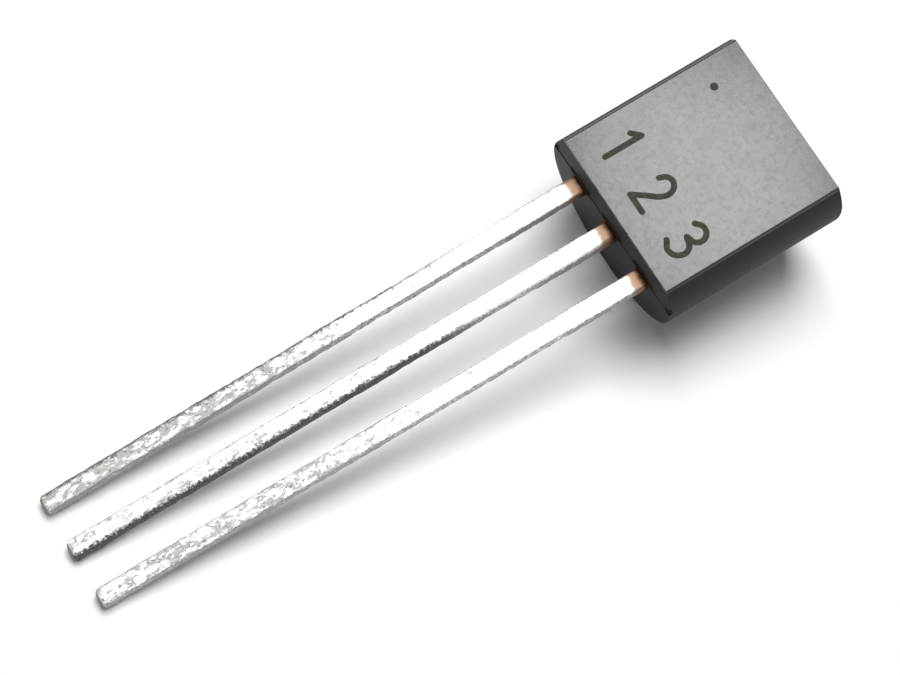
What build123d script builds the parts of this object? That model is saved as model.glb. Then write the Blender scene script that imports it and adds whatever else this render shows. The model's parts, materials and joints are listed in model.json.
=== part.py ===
from build123d import *
import os
from math import asin, atan2, cos, degrees, hypot, radians, sin, sqrt, tan

# TO-92 transistor with straight leads, lying on a table as it comes to rest. Millimetres.
#
# The package has its own axes, held in the plane called package: X runs across the leads from
# emitter to collector, Y runs along the leads into the case, and Z comes out of the marked flat.
# Its origin is on the axis of the round back, level with the face that the leads leave.
# The table is the row's Z = 0. The leads run towards -Y and their tips touch the table, and so
# does the rim of the round back below the leads.

# Moulded case
case_diameter = 4.66  # of the round back
case_height = 4.55  # along the leads, at the parting line
flat_from_axis = 1.14  # from the axis of the round back to the marked flat
flat_edge_radius = 0.10  # along the two long edges of the flat
rim_radius = 0.06  # round both end faces
front_draft = 2.5  # degrees, end faces between the parting line and the flat
back_draft = 1.5  # degrees, end faces between the parting line and the round back
groove_width = 0.05  # of the fine groove all round the case at the parting line
groove_depth = 0.03

# Lead frame, stamped from one strip
lead_thickness = 0.40
lead_width = 0.42
lead_pitch = 1.27
lead_length = 13.65  # from the case to the tip
frame_from_axis = 0.09  # from the axis of the round back to the middle of the strip
shoulder_step = 0.015  # extra width of a lead on each side, next to the case
shoulder_length = 2.0  # from the case to the end of the shoulder
shoulder_taper = 0.12  # length over which the shoulder narrows
tip_corner_radius = 0.06
emitter_tip_drift = 0.07  # how far each tip stands off its true line, towards +X
base_tip_drift = -0.04
collector_tip_drift = -0.10

# Bonding heads of the emitter and base leads
head_width = 0.80
head_start = 0.75  # from the face that the leads leave
head_end = 1.65
head_corner_radius = 0.10
emitter_head_shift = 0.05  # the emitter's head leans towards the middle

# Paddle of the collector lead
paddle_width = 2.35
paddle_start = 2.05  # from the face that the leads leave
paddle_cover = 0.80  # epoxy between the paddle and the far end of the case
paddle_corner_radius = 0.12

# Die, and the bond layer under it
die_side = 0.38
die_thickness = 0.20
attach_margin = 0.02  # the bond layer reaches this far past the die on each side
attach_thickness = 0.02
die_from_paddle_middle = 0.15  # towards the emitter

# Bond wires
wire_diameter = 0.033
ball_diameter = 0.090
ball_height = 0.030
stitch_length = 0.140
stitch_width = 0.080
stitch_height = 0.030
wire_end_height = 0.022  # of the wire's middle where it ends inside its stitch
wire_rise = 0.17  # of the wire's middle above the die
wire_bend_radius = 0.06
pad_from_die_middle = 0.09  # emitter pad towards -X, base pad towards +X
stitch_from_head_end = 0.20

# Heights above the axis of the round back, along the package's Z
back_radius = case_diameter / 2
frame_top = frame_from_axis + lead_thickness / 2  # the parting line lies at this height too
frame_bottom = frame_top - lead_thickness
paddle_end = case_height - paddle_cover


def rim_centre(end_at, inward):
    """Middle of the rounded rim at the bottom of the back, as (y, z); inward is +1 or -1 along Y."""
    z = rim_radius - back_radius
    setback = tan(radians(back_draft)) * (frame_top - z) + rim_radius / cos(radians(back_draft))
    return end_at + inward * setback, z


# Resting pose: the table touches the lower corners of the lead tips and the near rim of the back
near_rim_y, near_rim_z = rim_centre(0, 1)
far_rim_y, far_rim_z = rim_centre(case_height, -1)
run = near_rim_y + lead_length
drop = frame_bottom - near_rim_z
rest_angle = atan2(drop, run) + asin(rim_radius / hypot(run, drop))
height_of_axis = rim_radius - near_rim_y * sin(rest_angle) - near_rim_z * cos(rest_angle)
tips_y = -lead_length * cos(rest_angle) - frame_top * sin(rest_angle)
far_y = far_rim_y * cos(rest_angle) - far_rim_z * sin(rest_angle) + rim_radius
package = Plane(
    origin=(0, -(tips_y + far_y) / 2, height_of_axis),
    x_dir=(1, 0, 0),
    z_dir=(0, -sin(rest_angle), cos(rest_angle)),
)


def level(height):
    """Plane parallel to the marked flat, at this height above the axis of the round back."""
    return package.offset(height)


def leg(x, tip_drift):
    """Outline of a straight lead from inside its case to its tip, seen from the flat."""
    half = lead_width / 2
    wide = half + shoulder_step
    taper_end = -shoulder_length - shoulder_taper

    def middle(y):
        return x - min(y, 0) / lead_length * tip_drift

    with BuildSketch() as outline:
        with BuildLine():
            Polyline(
                (middle(0) - wide, head_start),
                (middle(0) - wide, 0),
                (middle(-shoulder_length) - wide, -shoulder_length),
                (middle(taper_end) - half, taper_end),
                (middle(-lead_length) - half, -lead_length),
                (middle(-lead_length) + half, -lead_length),
                (middle(taper_end) + half, taper_end),
                (middle(-shoulder_length) + wide, -shoulder_length),
                (middle(0) + wide, 0),
                (middle(0) + wide, head_start),
                close=True,
            )
        make_face()
        fillet(outline.vertices().group_by(Axis.Y)[0], radius=tip_corner_radius)
    return outline.sketch_local


def bonding_head(x):
    """Outline of the widened end of a lead, where its bond wire lands."""
    with BuildSketch() as outline:
        with Locations((x, (head_start + head_end) / 2)):
            RectangleRounded(head_width, head_end - head_start, head_corner_radius)
    return outline.sketch_local


# Leads
emitter_x = -lead_pitch
collector_x = lead_pitch
emitter_head_x = emitter_x + emitter_head_shift

with BuildPart() as emitter_lead:
    with BuildSketch(level(frame_top)):
        add(leg(emitter_x, emitter_tip_drift))
        add(bonding_head(emitter_head_x))
    extrude(amount=-lead_thickness)

with BuildPart() as base_lead:
    with BuildSketch(level(frame_top)):
        add(leg(0, base_tip_drift))
        add(bonding_head(0))
    extrude(amount=-lead_thickness)

stem_width = lead_width + 2 * shoulder_step
paddle_right = collector_x + stem_width / 2
paddle_x = paddle_right - paddle_width / 2
paddle_y = (paddle_start + paddle_end) / 2

with BuildPart() as collector_lead:
    with BuildSketch(level(frame_top)):
        add(leg(collector_x, collector_tip_drift))
        with Locations((collector_x, (head_start + paddle_y) / 2)):
            Rectangle(stem_width, paddle_y - head_start)
        with Locations((paddle_x, paddle_y)):
            RectangleRounded(paddle_width, paddle_end - paddle_start, paddle_corner_radius)
    extrude(amount=-lead_thickness)

# Die and its bond layer, on the flat's side of the paddle
die_x = paddle_x - die_from_paddle_middle
die_y = paddle_y
attach_top = frame_top + attach_thickness
die_top = attach_top + die_thickness
attach_side = die_side + 2 * attach_margin

with BuildPart() as die_attach:
    with BuildSketch(level(frame_top)):
        with Locations((die_x, die_y)):
            Rectangle(attach_side, attach_side)
    extrude(amount=attach_thickness)

with BuildPart() as transistor_die:
    with BuildSketch(level(attach_top)):
        with Locations((die_x, die_y)):
            Rectangle(die_side, die_side)
    extrude(amount=die_thickness)


def bond_wire(pad_x, post_x):
    """Gold wire from a ball on the die, up over a bend and down to a stitch on a bonding head."""
    post_y = head_end - stitch_from_head_end
    span = hypot(post_x - pad_x, post_y - die_y)
    along_x = (post_x - pad_x) / span
    along_y = (post_y - die_y) / span
    along = package.x_dir * along_x + package.y_dir * along_y
    upright = Plane(
        origin=package.from_local_coords((pad_x, die_y, die_top)),
        x_dir=along,
        z_dir=along.cross(package.z_dir),
    )
    on_head = Plane(
        origin=package.from_local_coords((post_x, post_y, frame_top)),
        x_dir=along,
        z_dir=package.z_dir,
    )
    on_die = Plane(origin=upright.origin, x_dir=along, z_dir=package.z_dir)
    with BuildPart() as wire:
        with BuildLine(upright) as path:
            FilletPolyline(
                (0, ball_height / 2),
                (0, wire_rise),
                (span, frame_top + wire_end_height - die_top),
                radius=wire_bend_radius,
            )
        with BuildSketch(Plane(origin=path.line @ 0, x_dir=along, z_dir=path.line % 0)):
            Circle(wire_diameter / 2)
        sweep()
        with BuildSketch(on_die):
            Circle(ball_diameter / 2)
        extrude(amount=ball_height)
        with BuildSketch(on_head):
            Ellipse(stitch_length / 2, stitch_width / 2)
        extrude(amount=stitch_height)
    return wire


emitter_bond_wire = bond_wire(die_x - pad_from_die_middle, emitter_head_x)
base_bond_wire = bond_wire(die_x + pad_from_die_middle, 0)

# Case, moulded round everything inside it
front_setback = tan(radians(front_draft)) * (flat_from_axis - frame_top)
back_setback = tan(radians(back_draft)) * (back_radius + frame_top)
half_chord = sqrt(back_radius**2 - frame_top**2)  # of the case's section at the parting line
side = Plane(origin=package.origin, x_dir=package.y_dir, z_dir=package.x_dir)
far_end = Plane(
    origin=package.from_local_coords((0, case_height, 0)),
    x_dir=package.x_dir,
    z_dir=package.y_dir * -1,
)
along_leads = Axis(package.origin, package.y_dir)
out_of_flat = Axis(package.origin, package.z_dir)


def is_end_face(face):
    """True for the drafted faces at both ends of the case."""
    leans = abs(face.normal_at().dot(package.y_dir))
    return face.geom_type == GeomType.PLANE and leans > 0.9


def is_rim(edge):
    """True for an edge that isn't on the parting line."""
    return abs(package.to_local_coords(edge.center()).Z - frame_top) > rim_radius


embedded = [
    emitter_lead,
    base_lead,
    collector_lead,
    die_attach,
    transistor_die,
    emitter_bond_wire,
    base_bond_wire,
]

with BuildPart() as moulded_case:
    # seen from the side, with both end faces drafted away from the parting line
    with BuildSketch(side):
        with BuildLine():
            Polyline(
                (0, frame_top),
                (front_setback, flat_from_axis),
                (case_height - front_setback, flat_from_axis),
                (case_height, frame_top),
                (case_height - back_setback, -back_radius),
                (back_setback, -back_radius),
                close=True,
            )
        make_face()
    extrude(amount=back_radius, both=True)
    # the section, a circle cut off at the flat
    with BuildSketch(far_end):
        Circle(back_radius)
        with Locations((0, flat_from_axis)):
            Rectangle(case_diameter, back_radius, align=(Align.CENTER, Align.MIN), mode=Mode.SUBTRACT)
    extrude(amount=case_height, mode=Mode.INTERSECT)
    flat = moulded_case.faces().sort_by(out_of_flat)[-1]
    fillet(flat.edges().filter_by(along_leads), radius=flat_edge_radius)
    end_faces = moulded_case.faces().filter_by(is_end_face)
    fillet(end_faces.edges().filter_by(is_rim), radius=rim_radius)
    # the groove goes all round, and its floor is a rectangle inside the case's outline
    with BuildSketch(level(frame_top - groove_width / 2)):
        with Locations((0, case_height / 2)):
            Rectangle(2 * case_diameter, 2 * case_height)
            Rectangle(
                2 * (half_chord - groove_depth),
                case_height - 2 * groove_depth,
                mode=Mode.SUBTRACT,
            )
    extrude(amount=groove_width, mode=Mode.SUBTRACT)
    for piece in embedded:
        add(piece.part, mode=Mode.SUBTRACT)

# One STEP file for each piece
os.makedirs("parts", exist_ok=True)
pieces = {
    "moulded_case": moulded_case,
    "emitter_lead": emitter_lead,
    "base_lead": base_lead,
    "collector_lead": collector_lead,
    "die_attach": die_attach,
    "transistor_die": transistor_die,
    "emitter_bond_wire": emitter_bond_wire,
    "base_bond_wire": base_bond_wire,
}
for name, piece in pieces.items():
    piece.part.label = name
    export_step(piece.part, f"parts/{name}.step")
print(f"rests with its leads {degrees(rest_angle):.2f} degrees off level")
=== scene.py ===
"""Looks of a TO-92 transistor that lies on a white table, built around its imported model."""

import json
from math import cos, radians, sin, sqrt

import bmesh
import bpy
from mathutils import Matrix, Quaternion, Vector, noise


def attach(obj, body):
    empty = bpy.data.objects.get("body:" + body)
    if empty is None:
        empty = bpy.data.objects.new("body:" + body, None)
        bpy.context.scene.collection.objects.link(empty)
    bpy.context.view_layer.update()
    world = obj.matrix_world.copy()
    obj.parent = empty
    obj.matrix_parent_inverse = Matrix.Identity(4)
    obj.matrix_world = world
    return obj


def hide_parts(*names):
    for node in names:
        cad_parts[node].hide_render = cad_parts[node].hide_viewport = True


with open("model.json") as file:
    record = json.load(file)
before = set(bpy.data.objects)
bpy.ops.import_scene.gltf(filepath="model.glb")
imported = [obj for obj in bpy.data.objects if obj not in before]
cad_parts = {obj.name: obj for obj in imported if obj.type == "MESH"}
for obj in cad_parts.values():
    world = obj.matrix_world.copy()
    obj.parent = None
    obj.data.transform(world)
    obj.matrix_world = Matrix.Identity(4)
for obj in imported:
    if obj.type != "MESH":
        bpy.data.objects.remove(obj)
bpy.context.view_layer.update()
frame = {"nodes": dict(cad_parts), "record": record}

MM = 0.001

# Package, in millimetres. Its own axes are X across the leads, Y along the leads into the case
# and Z out of the marked flat, from the axis of the round back at the face the leads leave.
CASE_DIAMETER = 4.66
CASE_HEIGHT = 4.55
FLAT_FROM_AXIS = 1.14
FRONT_DRAFT = 2.5  # degrees
BACK_DRAFT = 1.5  # degrees
FRAME_TOP = 0.29  # the leads' upper face, where the two halves of the mould met
FRAME_BOTTOM = -0.11
SHOULDER_STEP = 0.015
SHOULDER_LENGTH = 2.0
SHOULDER_TAPER = 0.12
LEAD_PITCH = 1.27
LEAD_WIDTH = 0.42
LEAD_LENGTH = 13.65
# The leads from left to right, and how far each tip stands off its true line
TIP_DRIFTS = {"emitter_lead": 0.07, "base_lead": -0.04, "collector_lead": -0.10}

# Rounding and the groove between the mould's halves
FLAT_EDGE_ROUND = 0.10
RIM_ROUND = 0.06
GROOVE_WIDTH = 0.11
GROOVE_DEPTH = 0.09

# Camera, aimed at a point on the table
CAMERA_AIM = Vector((-0.224, 0.666, 0.0)) * MM
CAMERA_AZIMUTH = 37.07  # degrees round from -Y
CAMERA_ELEVATION = 67.98
CAMERA_ROLL = 22.1
CAMERA_DISTANCE = 59.24 * MM
CAMERA_LENS = 105.6

# Light and table
SOFTBOX_PLACE = Vector((-40.0, 24.0, 203.0)) * MM
SOFTBOX_SIDE = 118 * MM
SOFTBOX_POWER = 0.47
WORLD_LEVEL = 0.07
TABLE_HALF_SIDE = 600 * MM
TABLE_WHITE = (0.95, 0.95, 0.95, 1)
TABLE_GLOW = 0.06


def package_matrix():
    """From package axes in millimetres to the frame in metres, read off the marked flat."""
    flat = next(m for m in frame["record"]["mounts"] if m["name"] == "marked_flat")
    out = Vector(flat["axis"]).normalized()
    across = Vector((1, 0, 0))
    along = out.cross(across)
    origin = Vector(flat["pos_m"]) - out * FLAT_FROM_AXIS * MM - along * CASE_HEIGHT / 2 * MM
    turn = Matrix((across, along, out)).transposed().to_4x4()
    return Matrix.Translation(origin) @ turn @ Matrix.Diagonal((MM, MM, MM, 1))


PACKAGE = package_matrix()


# ---------------------------------------------------------------- node helpers

def new_material(name):
    """An empty node material with its Principled shader, and that shader."""
    material = bpy.data.materials.new(name)
    material.use_nodes = True
    shader = material.node_tree.nodes["Principled BSDF"]
    return material, shader


def add_node(tree, kind, values=(), **settings):
    """A node with its settings, and values for its input sockets by name or number."""
    node = tree.nodes.new(kind)
    for key, value in settings.items():
        setattr(node, key, value)
    for socket, value in dict(values).items():
        node.inputs[socket].default_value = value
    return node


def link(tree, out, into):
    tree.links.new(out, into)


def new_group(name, inputs, outputs):
    """A shader node group with float or vector sockets, and its two end nodes."""
    group = bpy.data.node_groups.new(name, "ShaderNodeTree")
    for socket, kind, value in inputs:
        made = group.interface.new_socket(socket, in_out="INPUT", socket_type=kind)
        if value is not None:
            made.default_value = value
    for socket, kind in outputs:
        group.interface.new_socket(socket, in_out="OUTPUT", socket_type=kind)
    return group, group.nodes.new("NodeGroupInput"), group.nodes.new("NodeGroupOutput")


FLOAT = "NodeSocketFloat"
VECTOR = "NodeSocketVector"
GRAIN_DETAIL = 6.0
GRAIN_MIDDLE = 0.5  # the level that a grain varies about


def patches_group():
    """A soft-edged mask of irregular patches, as sharp and as common as asked."""
    inputs = [
        ("Place", VECTOR, None),
        ("Stretch", VECTOR, (1.0, 1.0, 1.0)),
        ("Size", FLOAT, 1.0),
        ("Roughness", FLOAT, 0.6),
        ("Level", FLOAT, 0.5),
        ("Softness", FLOAT, 0.1),
    ]
    group, given, out = new_group("patches", inputs, [("Mask", FLOAT), ("Grain", FLOAT)])
    stretched = add_node(group, "ShaderNodeVectorMath", operation="MULTIPLY")
    grain = add_node(group, "ShaderNodeTexNoise", {"Detail": GRAIN_DETAIL})
    frequency = add_node(group, "ShaderNodeMath", {0: 1.0}, operation="DIVIDE")
    low = add_node(group, "ShaderNodeMath", operation="SUBTRACT")
    high = add_node(group, "ShaderNodeMath", operation="ADD")
    mask = add_node(group, "ShaderNodeMapRange", interpolation_type="SMOOTHSTEP")
    link(group, given.outputs["Place"], stretched.inputs[0])
    link(group, given.outputs["Stretch"], stretched.inputs[1])
    link(group, given.outputs["Size"], frequency.inputs[1])
    link(group, stretched.outputs[0], grain.inputs["Vector"])
    link(group, frequency.outputs[0], grain.inputs["Scale"])
    link(group, given.outputs["Roughness"], grain.inputs["Roughness"])
    link(group, given.outputs["Level"], low.inputs[0])
    link(group, given.outputs["Softness"], low.inputs[1])
    link(group, given.outputs["Level"], high.inputs[0])
    link(group, given.outputs["Softness"], high.inputs[1])
    link(group, grain.outputs[0], mask.inputs["Value"])
    link(group, low.outputs[0], mask.inputs["From Min"])
    link(group, high.outputs[0], mask.inputs["From Max"])
    link(group, mask.outputs[0], out.inputs["Mask"])
    link(group, grain.outputs[0], out.inputs["Grain"])
    return group


PATCHES = patches_group()


def package_place(tree):
    """Where a point lies in the package's own axes, in millimetres, and its X, Y and Z."""
    coords = add_node(tree, "ShaderNodeTexCoord")
    back = PACKAGE.inverted()
    turn = add_node(tree, "ShaderNodeMapping", vector_type="POINT")
    turn.inputs["Location"].default_value = back.translation
    turn.inputs["Rotation"].default_value = back.to_euler()
    turn.inputs["Scale"].default_value = (1 / MM, 1 / MM, 1 / MM)
    split = add_node(tree, "ShaderNodeSeparateXYZ")
    link(tree, coords.outputs["Object"], turn.inputs["Vector"])
    link(tree, turn.outputs[0], split.inputs[0])
    return turn.outputs[0], split.outputs


def placed_group(tree, group, place, values):
    """A node group in this tree, with its values, that reads that place."""
    node = tree.nodes.new("ShaderNodeGroup")
    node.node_tree = group
    for socket, value in values.items():
        node.inputs[socket].default_value = value
    link(tree, place, node.inputs["Place"])
    return node


def patches(tree, place, size, level, softness, stretch=(1, 1, 1), rough=0.6):
    """Irregular patches about that size in millimetres."""
    values = {"Size": size, "Level": level, "Softness": softness, "Stretch": stretch}
    values["Roughness"] = rough
    return placed_group(tree, PATCHES, place, values)


def feed(tree, value, socket):
    """Links a socket to another, or sets it to a number or a colour."""
    if isinstance(value, bpy.types.NodeSocket):
        link(tree, value, socket)
    elif isinstance(value, tuple):
        socket.default_value = (*value, 1.0)
    else:
        socket.default_value = value


def blend_colours(tree, mask, first, second):
    """A colour that goes from first to second with mask. Either may be a colour or a socket."""
    mix = add_node(tree, "ShaderNodeMix", data_type="RGBA")
    link(tree, mask, mix.inputs[0])
    feed(tree, first, mix.inputs[6])
    feed(tree, second, mix.inputs[7])
    return mix.outputs[2]


def blend_values(tree, mask, first, second):
    """A number that goes from first to second with mask. Either may be a number or a socket."""
    mix = add_node(tree, "ShaderNodeMix", data_type="FLOAT")
    link(tree, mask, mix.inputs[0])
    feed(tree, first, mix.inputs[2])
    feed(tree, second, mix.inputs[3])
    return mix.outputs[0]


def bump(tree, height, distance_mm, strength=1.0, normal=None):
    """A bump of that height in millimetres, on top of an earlier normal if there is one."""
    node = add_node(tree, "ShaderNodeBump", {"Strength": strength, "Distance": distance_mm * MM})
    link(tree, height, node.inputs["Height"])
    if normal is not None:
        link(tree, normal, node.inputs["Normal"])
    return node.outputs[0]


def ramp(tree, value, start, end):
    """0 to 1, smoothly, as value goes from start to end."""
    node = add_node(tree, "ShaderNodeMapRange", {"From Min": start, "From Max": end})
    node.interpolation_type = "SMOOTHSTEP"
    link(tree, value, node.inputs["Value"])
    return node.outputs[0]


def compute(tree, operation, first, second=0.0):
    """The result of a sum. Either side may be a number or a socket."""
    node = add_node(tree, "ShaderNodeMath", operation=operation)
    feed(tree, first, node.inputs[0])
    feed(tree, second, node.inputs[1])
    return node.outputs[0]


# ---------------------------------------------------------------- materials

# Black compound
COMPOUND_BLACK = (0.0105, 0.0105, 0.0102)
COMPOUND_BLOTCH = (0.008, 0.008, 0.0078)
COMPOUND_SMEAR = (0.0070, 0.0066, 0.0064)
COMPOUND_IOR = 1.47
COMPOUND_SPECULAR = 0.26
SIDE_ROUGHNESS = 0.62
FLAT_ROUGHNESS = 0.26
SMEAR_ROUGHNESS = 0.31
FLAT_FADE = (-0.09, -0.02)  # below the flat, where the smooth face starts and is full
SKIN_CLEAN = 0.78  # how strong the smooth skin of the flat is
SKIN_BLOTCHED = 0.70
SKIN_SMEARED = 0.64
SKIN_GRAIN = 0.12
SKIN_ROUGHNESS = 0.25

# Painted shade: dark rims where the leads come out, for the shade in the recess round each lead,
# each from where it starts to where it is full
EXIT_SHADE_BLACK = (0.002, 0.002, 0.002)
RIM_ROUGHNESS = 1.0
RIM_TORN = 0.30
RIM_BESIDE = (0.42, 0.33)  # from a lead's middle line
RIM_OVER = (0.24, 0.14)  # from the leads' upper face
RIM_UNDER = (-0.12, -0.05)
RIM_DEPTH = (0.09, 0.06)  # into the case

# Burnt marking
MARK_DARK = (0.034, 0.031, 0.024)
MARK_WORN = (0.070, 0.064, 0.052)
MARK_ROUGHNESS = (0.62, 0.85)
MARK_SPECULAR = 0.2


def exit_painted_shade(tree, place, axes):
    """A mask of painted shade: the dark rims where the leads come out of the case."""
    torn = patches(tree, place, size=0.09, level=0.5, softness=0.2).outputs["Grain"]
    torn = compute(tree, "MULTIPLY", compute(tree, "SUBTRACT", torn, GRAIN_MIDDLE), RIM_TORN)
    from_lead = compute(tree, "PINGPONG", axes["X"], LEAD_PITCH / 2)
    beside = ramp(tree, compute(tree, "ADD", from_lead, torn), *RIM_BESIDE)
    starts, full = (FRAME_TOP + height for height in RIM_OVER)
    over = ramp(tree, compute(tree, "ADD", axes["Z"], torn), starts, full)
    starts, full = (FRAME_TOP + height for height in RIM_UNDER)
    above = ramp(tree, axes["Z"], starts, full)
    near = ramp(tree, axes["Y"], *RIM_DEPTH)
    beside_near = compute(tree, "MULTIPLY", beside, near)
    return compute(tree, "MULTIPLY", beside_near, compute(tree, "MULTIPLY", over, above))


def epoxy_material():
    """Black moulding compound, matt all round but for the flat, which is smooth from the mould."""
    material, shader = new_material("black moulding compound")
    tree = material.node_tree
    place, axes = package_place(tree)
    blotches = patches(tree, place, size=0.50, level=0.5, softness=0.16, rough=0.6)
    smears = patches(tree, place, size=0.14, level=0.56, softness=0.12, rough=0.65)
    grain = patches(tree, place, size=0.06, level=0.5, softness=0.20, rough=0.75)
    blotched = blotches.outputs["Mask"]
    smeared = smears.outputs["Mask"]
    # painted shade where the leads come out of the case
    exit_shade = exit_painted_shade(tree, place, axes)
    starts, full = (FLAT_FROM_AXIS + height for height in FLAT_FADE)
    on_flat = ramp(tree, axes["Z"], starts, full)
    colour = blend_colours(tree, blotched, COMPOUND_BLACK, COMPOUND_BLOTCH)
    colour = blend_colours(tree, smeared, colour, COMPOUND_SMEAR)
    # painted shade: near black and fully rough on the rims where the leads leave the case
    colour = blend_colours(tree, exit_shade, colour, EXIT_SHADE_BLACK)
    rough = blend_values(tree, smeared, FLAT_ROUGHNESS, SMEAR_ROUGHNESS)
    rough = blend_values(tree, on_flat, SIDE_ROUGHNESS, rough)
    rough = blend_values(tree, exit_shade, rough, RIM_ROUGHNESS)
    skin = blend_values(tree, blotched, SKIN_CLEAN, SKIN_BLOTCHED)
    skin = blend_values(tree, smeared, skin, SKIN_SMEARED)
    grainy = compute(tree, "MULTIPLY", grain.outputs["Mask"], SKIN_GRAIN)
    skin = compute(tree, "SUBTRACT", skin, grainy)
    normal = bump(tree, grain.outputs["Grain"], distance_mm=0.002, strength=0.5)
    link(tree, colour, shader.inputs["Base Color"])
    link(tree, rough, shader.inputs["Roughness"])
    link(tree, compute(tree, "MULTIPLY", skin, on_flat), shader.inputs["Coat Weight"])
    link(tree, normal, shader.inputs["Normal"])
    shader.inputs["IOR"].default_value = COMPOUND_IOR
    shader.inputs["Specular IOR Level"].default_value = COMPOUND_SPECULAR
    shader.inputs["Coat Roughness"].default_value = SKIN_ROUGHNESS
    shader.inputs["Coat IOR"].default_value = COMPOUND_IOR
    return material


def mark_material():
    """Burnt marking, a dull olive brown with a broken surface."""
    material, shader = new_material("burnt marking")
    tree = material.node_tree
    place, _ = package_place(tree)
    worn = patches(tree, place, size=0.07, level=0.52, softness=0.10, rough=0.7)
    colour = blend_colours(tree, worn.outputs["Mask"], MARK_DARK, MARK_WORN)
    rough = blend_values(tree, worn.outputs["Grain"], *MARK_ROUGHNESS)
    normal = bump(tree, worn.outputs["Grain"], distance_mm=0.008, strength=0.8)
    link(tree, colour, shader.inputs["Base Color"])
    link(tree, rough, shader.inputs["Roughness"])
    link(tree, normal, shader.inputs["Normal"])
    shader.inputs["Specular IOR Level"].default_value = MARK_SPECULAR
    return material


# Wear of the leads, and painted shade on their sides, along one upper edge and where they leave
# the case. A place along a lead is minus outwards from the case, and each pair runs from where the
# wear or the shade starts to where it is full.
WEAR_ALONG = (-2.5, -9.5)
DULL_LEVELS = (0.53, 0.73)
PITTED_LEVELS = (0.59, 0.68)
PITTED_BY_DULLING = 0.25
DARK_END = (0.07, 0.01)  # from the tip
# painted shade on both side faces of each lead
SIDE_SHADE_ACROSS = (0.185, 0.215)  # from the lead's middle line
SIDE_SHADE_TORN = 0.22
# painted shade along one upper edge of a lead, and in ragged spots
EDGE_SHADE_ACROSS = (0.085, 0.19)  # from the lead's middle line
EDGE_SHADE_TORN = 0.5
EDGE_SHADE_ALONG = (-2.6, -5.0)
BARE_ALONG = (-0.27, -0.12)
# painted shade on the copper where the lead leaves the case
ROOT_SHADE_ALONG = (-0.02, 0.13)
RAGGED = 0.35

# Which upper edge carries painted shade (-1 left, 1 right, 0 neither, only spots), how much
# duller the lead gets towards its tip, and the colour of that painted shade
LEAD_WEAR_AND_SHADE = {
    "emitter_lead": (-1, 0.19, (0.16, 0.16, 0.155)),
    "base_lead": (1, 0.12, (0.11, 0.11, 0.105)),
    "collector_lead": (0, 0.17, (0.3, 0.3, 0.3)),
}

COPPER = (0.34, 0.225, 0.15)
# the colour of the painted shade on the copper at the case
COPPER_SHADED = (0.065, 0.036, 0.02)
SOLDER_BRIGHT = (0.86, 0.855, 0.84)
SOLDER_DULL = (0.41, 0.405, 0.39)
SOLDER_PITTED = (0.20, 0.195, 0.185)
# the grey of the painted shade on the leads' side faces
SOLDER_SIDE_SHADE = (0.34, 0.335, 0.32)


def lead_grains(tree, place):
    """The streaks, pits, lumps and torn edges of a lead's coat, each as a grain."""
    streaks = patches(
        tree, place, size=0.16, level=0.5, softness=0.10, stretch=(1.4, 0.6, 1.4), rough=0.75
    )
    pits = patches(
        tree, place, size=0.06, level=0.5, softness=0.06, stretch=(1.0, 0.6, 1.0), rough=0.75
    )
    lumps = patches(
        tree, place, size=0.30, level=0.5, softness=0.2, stretch=(1.0, 0.6, 1.0), rough=0.5
    )
    torn = patches(tree, place, size=0.08, level=0.5, softness=0.2, rough=0.8)
    return [node.outputs["Grain"] for node in (streaks, pits, lumps, torn)]


def worn_coat(tree, along, most, streaks, pits):
    """Masks of the dull and the pitted coat, both stronger towards the tip, whose end is dark."""
    dulling = compute(tree, "MULTIPLY", ramp(tree, along, *WEAR_ALONG), most)
    dull = ramp(tree, compute(tree, "ADD", streaks, dulling), *DULL_LEVELS)
    more_pits = compute(tree, "MULTIPLY", dulling, PITTED_BY_DULLING)
    pitted = ramp(tree, compute(tree, "ADD", pits, more_pits), *PITTED_LEVELS)
    starts, full = (reach - LEAD_LENGTH for reach in DARK_END)
    end = ramp(tree, along, starts, full)
    return dull, compute(tree, "MAXIMUM", pitted, end)


def shaded_edges(tree, along, across, side, torn):
    """Masks of painted shade on a lead: grey on both side faces, and darker along one upper edge."""
    from_middle = compute(tree, "ABSOLUTE", across)
    # painted shade on both side faces
    cut = compute(tree, "ADD", from_middle, compute(tree, "MULTIPLY", torn, SIDE_SHADE_TORN))
    # painted shade along one upper edge
    outward = compute(tree, "MULTIPLY", across, side)
    outward = compute(tree, "ADD", outward, compute(tree, "MULTIPLY", torn, EDGE_SHADE_TORN))
    at_edge = ramp(tree, outward, *EDGE_SHADE_ACROSS)
    edge_shade = compute(tree, "MULTIPLY", at_edge, ramp(tree, along, *EDGE_SHADE_ALONG))
    return ramp(tree, cut, *SIDE_SHADE_ACROSS), edge_shade


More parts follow.
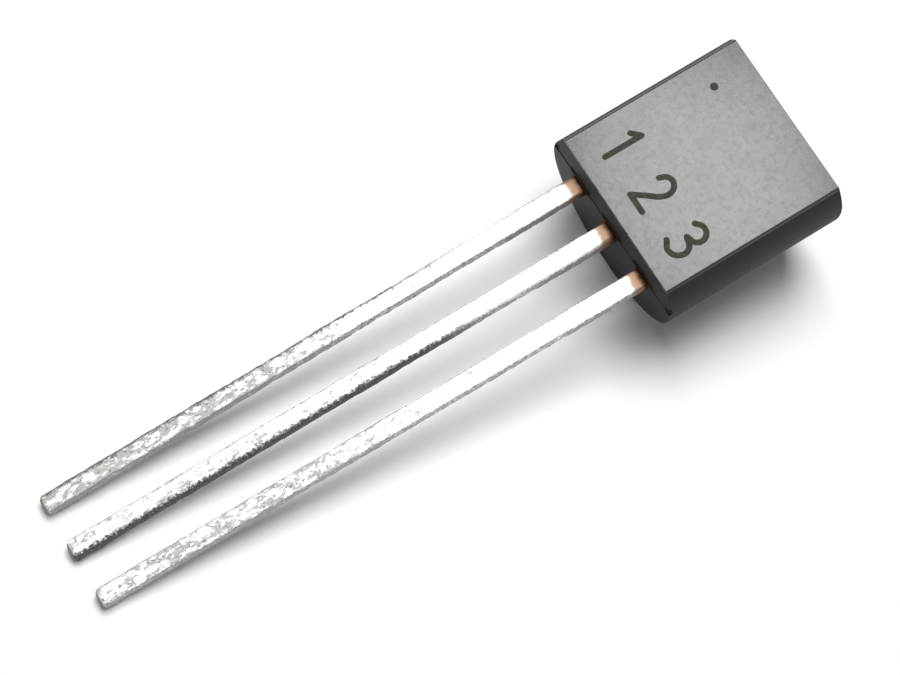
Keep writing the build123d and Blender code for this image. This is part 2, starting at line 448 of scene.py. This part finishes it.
def lead_wear_and_shade_group():
    """Wear and painted shade on a lead at a place, given where that lead stands and how far it leans."""
    inputs = [("Place", VECTOR, None)]
    inputs += [(name, FLOAT, 0.0) for name in ("Root", "Lean", "Side", "Dulling")]
    masks = ("Dull", "Pitted", "Side shade", "Edge shade", "Bare", "Root shade", "Lumps", "Pits")
    tree, given, out = new_group("lead wear and shade", inputs, [(name, FLOAT) for name in masks])
    place = given.outputs["Place"]
    split = add_node(tree, "ShaderNodeSeparateXYZ")
    link(tree, place, split.inputs[0])
    along = split.outputs["Y"]
    streaks, pits, lumps, torn = lead_grains(tree, place)
    torn = compute(tree, "SUBTRACT", torn, GRAIN_MIDDLE)
    leaned = compute(tree, "MULTIPLY", along, given.outputs["Lean"])
    across = compute(tree, "ADD", split.outputs["X"], leaned)
    across = compute(tree, "SUBTRACT", across, given.outputs["Root"])
    dull, pitted = worn_coat(tree, along, given.outputs["Dulling"], streaks, pits)
    # painted shade on the side faces and along one upper edge
    cut, edge_shade = shaded_edges(tree, along, across, given.outputs["Side"], torn)
    # bare next to the case, with a ragged edge, and darkened with painted shade where it leaves the case
    ragged = compute(tree, "ADD", along, compute(tree, "MULTIPLY", lumps, RAGGED))
    bare = ramp(tree, ragged, *BARE_ALONG)
    root_shade = ramp(tree, ragged, *ROOT_SHADE_ALONG)
    results = (dull, pitted, cut, edge_shade, bare, root_shade, lumps, pits)
    for name, result in zip(masks, results):
        link(tree, result, out.inputs[name])
    return tree


def tinned_material(name, wear_and_shade_group, root, drift, side, dulling, edge_shade_colour):
    """Copper strip under an uneven coat of solder that stops short of the case."""
    material, shader = new_material(name)
    tree = material.node_tree
    place, _ = package_place(tree)
    values = {"Root": root, "Lean": drift / LEAD_LENGTH, "Side": side, "Dulling": dulling}
    masks = placed_group(tree, wear_and_shade_group, place, values).outputs
    # the copper darkened with painted shade where the lead leaves the case
    copper = blend_colours(tree, masks["Root shade"], COPPER, COPPER_SHADED)
    # each finish lies over those before it, with its own roughness
    finishes = (
        ("Dull", SOLDER_DULL, 0.80),
        ("Pitted", SOLDER_PITTED, 0.80),
        # painted shade: grey on both side faces, then darker along one upper edge
        ("Side shade", SOLDER_SIDE_SHADE, 0.72),
        ("Edge shade", edge_shade_colour, 0.80),
        ("Bare", copper, 0.55),
    )
    colour = SOLDER_BRIGHT
    rough = 0.50
    for mask, finish, roughness in finishes:
        colour = blend_colours(tree, masks[mask], colour, finish)
        rough = blend_values(tree, masks[mask], rough, roughness)
    normal = bump(tree, masks["Lumps"], distance_mm=0.05, strength=0.55)
    normal = bump(tree, masks["Pits"], distance_mm=0.012, strength=0.7, normal=normal)
    link(tree, colour, shader.inputs["Base Color"])
    link(tree, rough, shader.inputs["Roughness"])
    link(tree, normal, shader.inputs["Normal"])
    shader.inputs["Metallic"].default_value = 1.0
    return material


INNER_SMOOTHER = 0.7
INNER_ROUGHER = 1.3


def inner_material(name, dark, light, metallic, rough, grain_mm):
    """A finish for a piece that the case hides: two close shades in a fine grain."""
    material, shader = new_material(name)
    tree = material.node_tree
    place, _ = package_place(tree)
    grain = patches(tree, place, size=grain_mm, level=0.5, softness=0.2)
    colour = blend_colours(tree, grain.outputs["Mask"], dark, light)
    smoother, rougher = rough * INNER_SMOOTHER, rough * INNER_ROUGHER
    link(tree, colour, shader.inputs["Base Color"])
    link(tree, blend_values(tree, grain.outputs["Grain"], smoother, rougher), shader.inputs["Roughness"])
    shader.inputs["Metallic"].default_value = metallic
    return material


# ---------------------------------------------------------------- mesh helpers

IN_PLANE = 1e-6
CLOSE = 1e-4  # two places in millimetres that count as one
WELD = 1e-3  # shorter edges are merged away in the case


def everything(bm):
    return bm.verts[:] + bm.edges[:] + bm.faces[:]


def cut_away(bm, point, outward):
    """Cuts off what lies past a plane, and closes the cut with one face."""
    cut = bmesh.ops.bisect_plane(
        bm, geom=everything(bm), dist=IN_PLANE, plane_co=point, plane_no=outward, clear_outer=True
    )
    rim = [edge for edge in cut["geom_cut"] if isinstance(edge, bmesh.types.BMEdge)]
    bmesh.ops.holes_fill(bm, edges=rim, sides=0)


def score(bm, point, normal):
    """Adds a line of edges where a plane crosses the mesh."""
    bmesh.ops.bisect_plane(bm, geom=everything(bm), dist=IN_PLANE, plane_co=point, plane_no=normal)


def round_edges(bm, edges, radius, segments):
    bmesh.ops.bevel(
        bm, geom=edges, offset=radius, offset_type="OFFSET", segments=segments,
        profile=0.5, affect="EDGES", clamp_overlap=True, material=-1,
    )


LARGE_FACE = 1.0 * MM * MM  # a larger face is a plane, and is shaded as one


def finished_piece(bm, name, material, sharp_angle):
    """An object on the part's one body, from a mesh in package millimetres.

    What would dip into the table is raised to lie on it.
    """
    bm.transform(PACKAGE)
    for v in bm.verts:
        v.co.z = max(v.co.z, 0)
    bmesh.ops.recalc_face_normals(bm, faces=bm.faces)
    mesh = bpy.data.meshes.new(name)
    bm.to_mesh(mesh)
    bm.free()
    mesh.materials.append(material)
    smooth = [polygon.area < LARGE_FACE for polygon in mesh.polygons]
    mesh.polygons.foreach_set("use_smooth", smooth)
    mesh.set_sharp_from_angle(angle=radians(sharp_angle))
    piece = bpy.data.objects.new(name, mesh)
    bpy.context.scene.collection.objects.link(piece)
    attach(piece, "root")
    return piece


# ---------------------------------------------------------------- case

ROUND_SEGMENTS = 240
END_FACING = 0.9  # a face whose normal is nearer to the Y axis than this belongs to an end


def case_block():
    """The case with sharp edges: a round bar, the flat cut on it and both ends drafted."""
    bm = bmesh.new()
    upright = Matrix.Rotation(radians(90), 4, "X")
    bmesh.ops.create_circle(
        bm, cap_ends=True, segments=ROUND_SEGMENTS, radius=CASE_DIAMETER / 2, matrix=upright
    )
    pushed = bmesh.ops.extrude_face_region(bm, geom=bm.faces[:])
    moved = [v for v in pushed["geom"] if isinstance(v, bmesh.types.BMVert)]
    bmesh.ops.translate(bm, verts=moved, vec=(0, CASE_HEIGHT, 0))
    bmesh.ops.recalc_face_normals(bm, faces=bm.faces)
    cut_away(bm, (0, 0, FLAT_FROM_AXIS), (0, 0, 1))
    for end, outward in ((0, -1), (CASE_HEIGHT, 1)):
        for draft, side in ((FRONT_DRAFT, 1), (BACK_DRAFT, -1)):
            lean = radians(draft)
            cut_away(bm, (0, end, FRAME_TOP), (0, outward * cos(lean), side * sin(lean)))
    return bm


def round_case_edges(bm):
    """Rounds the flat's long edges, then the rims of both ends."""
    long_edges = [
        edge for edge in bm.edges
        if all(abs(v.co.z - FLAT_FROM_AXIS) < CLOSE for v in edge.verts)
        and abs(edge.verts[0].co.y - edge.verts[1].co.y) > CASE_HEIGHT / 2
    ]
    round_edges(bm, long_edges, FLAT_EDGE_ROUND, segments=6)
    bm.normal_update()
    rims = [
        edge for edge in bm.edges
        if len(edge.link_faces) == 2
        and sum(abs(face.normal.y) > END_FACING for face in edge.link_faces) == 1
    ]
    round_edges(bm, rims, RIM_ROUND, segments=4)


def sink_groove(bm):
    """The groove across both ends, where the halves of the mould met."""
    for offset in (-GROOVE_WIDTH / 2, 0, GROOVE_WIDTH / 2):
        score(bm, (0, 0, FRAME_TOP + offset), (0, 0, 1))
    for end, inward in ((0, 1), (CASE_HEIGHT, -1)):
        floor = [
            v for v in bm.verts
            if abs(v.co.z - FRAME_TOP) < CLOSE and abs(v.co.y - end) < RIM_ROUND
        ]
        bmesh.ops.translate(bm, vec=(0, inward * GROOVE_DEPTH, 0), verts=floor)


def case_piece(material):
    """The moulded case: round back, drafted ends, rounded rims and the groove."""
    bm = case_block()
    round_case_edges(bm)
    sink_groove(bm)
    bmesh.ops.remove_doubles(bm, verts=bm.verts, dist=WELD)
    bmesh.ops.dissolve_degenerate(bm, dist=WELD, edges=bm.edges)
    piece = finished_piece(bm, "case", material, sharp_angle=30)
    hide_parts("moulded_case")


# ---------------------------------------------------------------- pin numbers

MARK_HALF_WIDTH = 0.068
MARK_FLATTEN = 0.06
MARK_HEIGHT = 0.95
MARK_FROM_NEAR_EDGE = 1.05
INDEX_DOT = (-1.36, 3.50)
INDEX_DOT_RADIUS = 0.095

# Each digit is one stroke or two, on a grid one wide and two high
DIGITS = {
    "1": [[(0.18, 1.62), (0.55, 2.0)], [(0.55, 2.0), (0.55, 0.0)]],
    "2": [[(0.02, 1.55), (0.22, 1.92), (0.62, 1.98), (0.92, 1.60), (0.82, 1.12), (0.42, 0.58),
           (0.0, 0.0)],
          [(0.0, 0.0), (1.0, 0.0)]],
    "3": [[(0.04, 1.74), (0.42, 2.0), (0.86, 1.78), (0.84, 1.30), (0.38, 1.08)],
          [(0.38, 1.08), (0.92, 0.84), (0.96, 0.34), (0.50, 0.0), (0.02, 0.22)]],
}


def stroke_curve(name, strokes, place):
    """A curve of round strokes in package millimetres, each on digit points moved by place."""
    curve = bpy.data.curves.new(name, "CURVE")
    curve.dimensions = "3D"
    curve.resolution_u = 8
    curve.bevel_depth = MARK_HALF_WIDTH
    curve.bevel_resolution = 3
    curve.use_fill_caps = True
    for points in strokes:
        spline = curve.splines.new("BEZIER")
        spline.bezier_points.add(len(points) - 1)
        for knot, point in zip(spline.bezier_points, points):
            knot.co = place(point)
            knot.handle_left_type = "AUTO"
            knot.handle_right_type = "AUTO"
    return curve


def add_round_stop(bm, place, radius, segments):
    bmesh.ops.create_uvsphere(
        bm, u_segments=segments, v_segments=8, radius=radius, matrix=Matrix.Translation(place)
    )


def add_digit(bm, digit, middle):
    """One digit in round strokes, centred across on middle, with each stroke's ends rounded."""
    strokes = DIGITS[digit]
    scale = MARK_HEIGHT / 2

    def place(point):
        return (middle + (point[0] - 0.5) * scale, MARK_FROM_NEAR_EDGE + (point[1] - 1) * scale, 0)

    curve = stroke_curve("stroke " + digit, strokes, place)
    drawn = bpy.data.objects.new("stroke " + digit, curve)
    bpy.context.scene.collection.objects.link(drawn)
    bm.from_mesh(bpy.data.meshes.new_from_object(drawn))
    bmesh.ops.remove_doubles(bm, verts=bm.verts, dist=CLOSE)
    bpy.data.objects.remove(drawn)
    for end in sorted({end for points in strokes for end in (points[0], points[-1])}):
        add_round_stop(bm, place(end), MARK_HALF_WIDTH, segments=16)


def marks_piece(material):
    """A plain pin number above each lead and the index dot, a hair proud of the flat."""
    bm = bmesh.new()
    for index, digit in enumerate(DIGITS):
        add_digit(bm, digit, middle=(index - 1) * LEAD_PITCH)
    add_round_stop(bm, (*INDEX_DOT, 0), INDEX_DOT_RADIUS, segments=20)
    bmesh.ops.scale(bm, vec=(1, 1, MARK_FLATTEN), verts=bm.verts)
    bmesh.ops.translate(bm, vec=(0, 0, FLAT_FROM_AXIS), verts=bm.verts)
    finished_piece(bm, "pin_numbers", material, sharp_angle=60)


# ---------------------------------------------------------------- leads

EDGE_ROUND = 0.05
WORN_ROUND = 0.11  # the upper edge that carries painted shade
TIP_ROUND = 0.12
TIP_RINGS = 6
RING_STEP = 0.06
SIDE_STEP = 0.1
CORNER_ANGLE = 60  # degrees
THICKNESS = FRAME_TOP - FRAME_BOTTOM

# The solder's coat: how far from the case it starts and gets to its full height, how high it
# swells, and how many waves, lumps and grains it has to a millimetre
COAT_STARTS = -0.22
COAT_RUNS_IN = 0.15
SWELL = 0.010
WAVES = (1.1, 0.7, 1.1)
LUMPS = 4.5
GRIT = 11.0


def coat_swell(place):
    """How far the solder stands out at a place on a lead, in millimetres: slow waves and lumps."""
    waves = noise.noise(Vector([at * per_mm for at, per_mm in zip(place, WAVES)]))
    lumps = noise.noise(place * LUMPS)
    grit = noise.noise(place * GRIT)
    return SWELL * waves + SWELL * lumps + SWELL * grit


def long_sharp_edges(bm):
    bm.normal_update()
    return [
        edge for edge in bm.edges
        if abs(edge.verts[0].co.y - edge.verts[1].co.y) > LEAD_LENGTH / 2
        and edge.calc_face_angle(0) > radians(CORNER_ANGLE)
    ]


def ring_places():
    """How far from the case each ring of edges stands, closer together on the round end."""
    straight = LEAD_LENGTH - TIP_ROUND
    steps = round(straight / RING_STEP)
    on_end = [
        straight + TIP_ROUND * sin(radians(90) * step / TIP_RINGS) for step in range(TIP_RINGS)
    ]
    return [straight * step / steps for step in range(1, steps)] + on_end


def shape_strip(v):
    """Widens the strip next to the case and rounds it off at the tip."""
    reach = -v.co.y
    shoulder = min(1, max(0, (SHOULDER_LENGTH + SHOULDER_TAPER - reach) / SHOULDER_TAPER))
    past = min(1, max(0, reach - LEAD_LENGTH + TIP_ROUND) / TIP_ROUND)
    less = TIP_ROUND * (1 - sqrt(1 - past * past))
    v.co.x *= 1 + (SHOULDER_STEP * shoulder - less) / (LEAD_WIDTH / 2)
    v.co.z *= 1 - less / (THICKNESS / 2)


def coated_strip(root, drift, side):
    """The strip outside the case, with rounded edges under its uneven coat."""
    bm = bmesh.new()
    size = Matrix.Diagonal((LEAD_WIDTH, LEAD_LENGTH, THICKNESS, 1))
    bmesh.ops.create_cube(bm, size=1, matrix=Matrix.Translation((0, -LEAD_LENGTH / 2, 0)) @ size)
    worn = [e for e in long_sharp_edges(bm) if e.verts[0].co.z > 0 and e.verts[0].co.x * side > 0]
    round_edges(bm, worn, WORN_ROUND, segments=5)
    round_edges(bm, long_sharp_edges(bm), EDGE_ROUND, segments=4)
    for offset in (-SIDE_STEP, 0, SIDE_STEP):
        score(bm, (offset, 0, 0), (1, 0, 0))
        score(bm, (0, 0, offset), (0, 0, 1))
    for reach in ring_places():
        score(bm, (0, -reach, 0), (0, 1, 0))
    for v in bm.verts:
        shape_strip(v)
        v.co += Vector((root - v.co.y * drift / LEAD_LENGTH, 0, (FRAME_TOP + FRAME_BOTTOM) / 2))
    bm.normal_update()
    for v in bm.verts:
        coat = min(1, max(0, COAT_STARTS - v.co.y) / COAT_RUNS_IN)
        v.co += v.normal * coat_swell(v.co) * coat
    return bm


def lead_piece(node, root, side, material):
    """A tinned lead: what the case hides of it as drawn, and the coated strip outside."""
    inside = bmesh.new()
    inside.from_mesh(frame["nodes"][node].data)
    inside.transform(PACKAGE.inverted())
    bmesh.ops.remove_doubles(inside, verts=inside.verts, dist=CLOSE)
    cut_away(inside, (0, 0, 0), (0, -1, 0))
    hidden = bpy.data.meshes.new(node + "_inside")
    inside.to_mesh(hidden)
    inside.free()
    bm = coated_strip(root, TIP_DRIFTS[node], side)
    bm.from_mesh(hidden)
    bpy.data.meshes.remove(hidden)
    piece = finished_piece(bm, node + "_tinned", material, sharp_angle=60)
    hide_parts(node)


# ---------------------------------------------------------------- hidden pieces

def dress_hidden_nodes():
    """Finishes for the CAD pieces inside the case."""
    silicon = inner_material(
        "silicon", dark=(0.10, 0.11, 0.15), light=(0.16, 0.17, 0.22),
        metallic=0.6, rough=0.2, grain_mm=0.05,
    )
    bond = inner_material(
        "die bond", dark=(0.42, 0.42, 0.43), light=(0.60, 0.60, 0.61),
        metallic=0.3, rough=0.6, grain_mm=0.02,
    )
    gold = inner_material(
        "bond gold", dark=(0.86, 0.62, 0.25), light=(0.97, 0.76, 0.36),
        metallic=1.0, rough=0.22, grain_mm=0.02,
    )
    finishes = {
        "transistor_die": silicon,
        "die_attach": bond,
        "emitter_bond_wire": gold,
        "base_bond_wire": gold,
    }
    for node, material in finishes.items():
        mesh = frame["nodes"][node].data
        mesh.materials.clear()
        mesh.materials.append(material)


# ---------------------------------------------------------------- table, light, camera

def only_seen_directly(tree, seen, otherwise):
    """A shader that is one thing to the camera, mirrors and glass, and another to the light."""
    path = add_node(tree, "ShaderNodeLightPath")
    mix = add_node(tree, "ShaderNodeMixShader")
    rays = path.outputs
    mirrored = compute(tree, "MAXIMUM", rays["Is Glossy Ray"], rays["Is Transmission Ray"])
    direct = compute(tree, "MAXIMUM", rays["Is Camera Ray"], mirrored)
    link(tree, direct, mix.inputs[0])
    link(tree, otherwise, mix.inputs[1])
    link(tree, seen, mix.inputs[2])
    return mix.outputs[0]


def table_material():
    """Plain white paper. To the camera it has a little light of its own, so open areas are white."""
    material = bpy.data.materials.new("white table")
    material.use_nodes = True
    tree = material.node_tree
    tree.nodes.clear()
    paper = add_node(tree, "ShaderNodeBsdfDiffuse", {"Color": TABLE_WHITE})
    glow = add_node(tree, "ShaderNodeEmission", {"Strength": TABLE_GLOW})
    lit = add_node(tree, "ShaderNodeAddShader")
    out = add_node(tree, "ShaderNodeOutputMaterial")
    link(tree, paper.outputs[0], lit.inputs[0])
    link(tree, glow.outputs[0], lit.inputs[1])
    link(tree, only_seen_directly(tree, lit.outputs[0], paper.outputs[0]), out.inputs["Surface"])
    return material


def make_table():
    bm = bmesh.new()
    bmesh.ops.create_grid(bm, x_segments=2, y_segments=2, size=TABLE_HALF_SIDE)
    mesh = bpy.data.meshes.new("table")
    bm.to_mesh(mesh)
    bm.free()
    mesh.materials.append(table_material())
    table = bpy.data.objects.new("table", mesh)
    bpy.context.scene.collection.objects.link(table)


def make_world():
    world = bpy.data.worlds.new("studio")
    bpy.context.scene.world = world
    world.use_nodes = True
    tree = world.node_tree
    tree.nodes.clear()
    room = add_node(tree, "ShaderNodeBackground", {"Color": (1, 1, 1, 1), "Strength": WORLD_LEVEL})
    white = add_node(tree, "ShaderNodeBackground", {"Color": (1, 1, 1, 1), "Strength": 1.0})
    out = add_node(tree, "ShaderNodeOutputWorld")
    link(tree, only_seen_directly(tree, white.outputs[0], room.outputs[0]), out.inputs["Surface"])


def make_softbox():
    lamp = bpy.data.lights.new("softbox", "AREA")
    lamp.shape = "SQUARE"
    lamp.size = SOFTBOX_SIDE
    lamp.energy = SOFTBOX_POWER
    softbox = bpy.data.objects.new("softbox", lamp)
    softbox.location = SOFTBOX_PLACE
    softbox.rotation_euler = (SOFTBOX_PLACE - CAMERA_AIM).to_track_quat("Z", "Y").to_euler()
    bpy.context.scene.collection.objects.link(softbox)


def make_camera():
    azimuth, elevation = radians(CAMERA_AZIMUTH), radians(CAMERA_ELEVATION)
    back = Vector((sin(azimuth) * cos(elevation), -cos(azimuth) * cos(elevation), sin(elevation)))
    data = bpy.data.cameras.new("camera")
    data.lens = CAMERA_LENS
    data.clip_start = 1 * MM
    data.clip_end = 10.0
    camera = bpy.data.objects.new("camera", data)
    camera.rotation_mode = "QUATERNION"
    roll = Quaternion((0, 0, 1), radians(CAMERA_ROLL))
    camera.rotation_quaternion = back.to_track_quat("Z", "Y") @ roll
    camera.location = CAMERA_AIM + back * CAMERA_DISTANCE
    bpy.context.scene.collection.objects.link(camera)
    bpy.context.scene.camera = camera


def build():
    case_piece(epoxy_material())
    marks_piece(mark_material())
    # masks of wear and of painted shade for the leads
    wear = lead_wear_and_shade_group()
    for index, (node, drift) in enumerate(TIP_DRIFTS.items()):
        root = (index - 1) * LEAD_PITCH
        side, dulling, edge_shade_colour = LEAD_WEAR_AND_SHADE[node]
        tinned = tinned_material("tinned copper " + node, wear, root, drift, side, dulling, edge_shade_colour)
        lead_piece(node, root, side, tinned)
    dress_hidden_nodes()
    make_table()
    make_world()
    make_softbox()
    make_camera()
    bpy.context.scene.view_settings.view_transform = "Standard"


build()
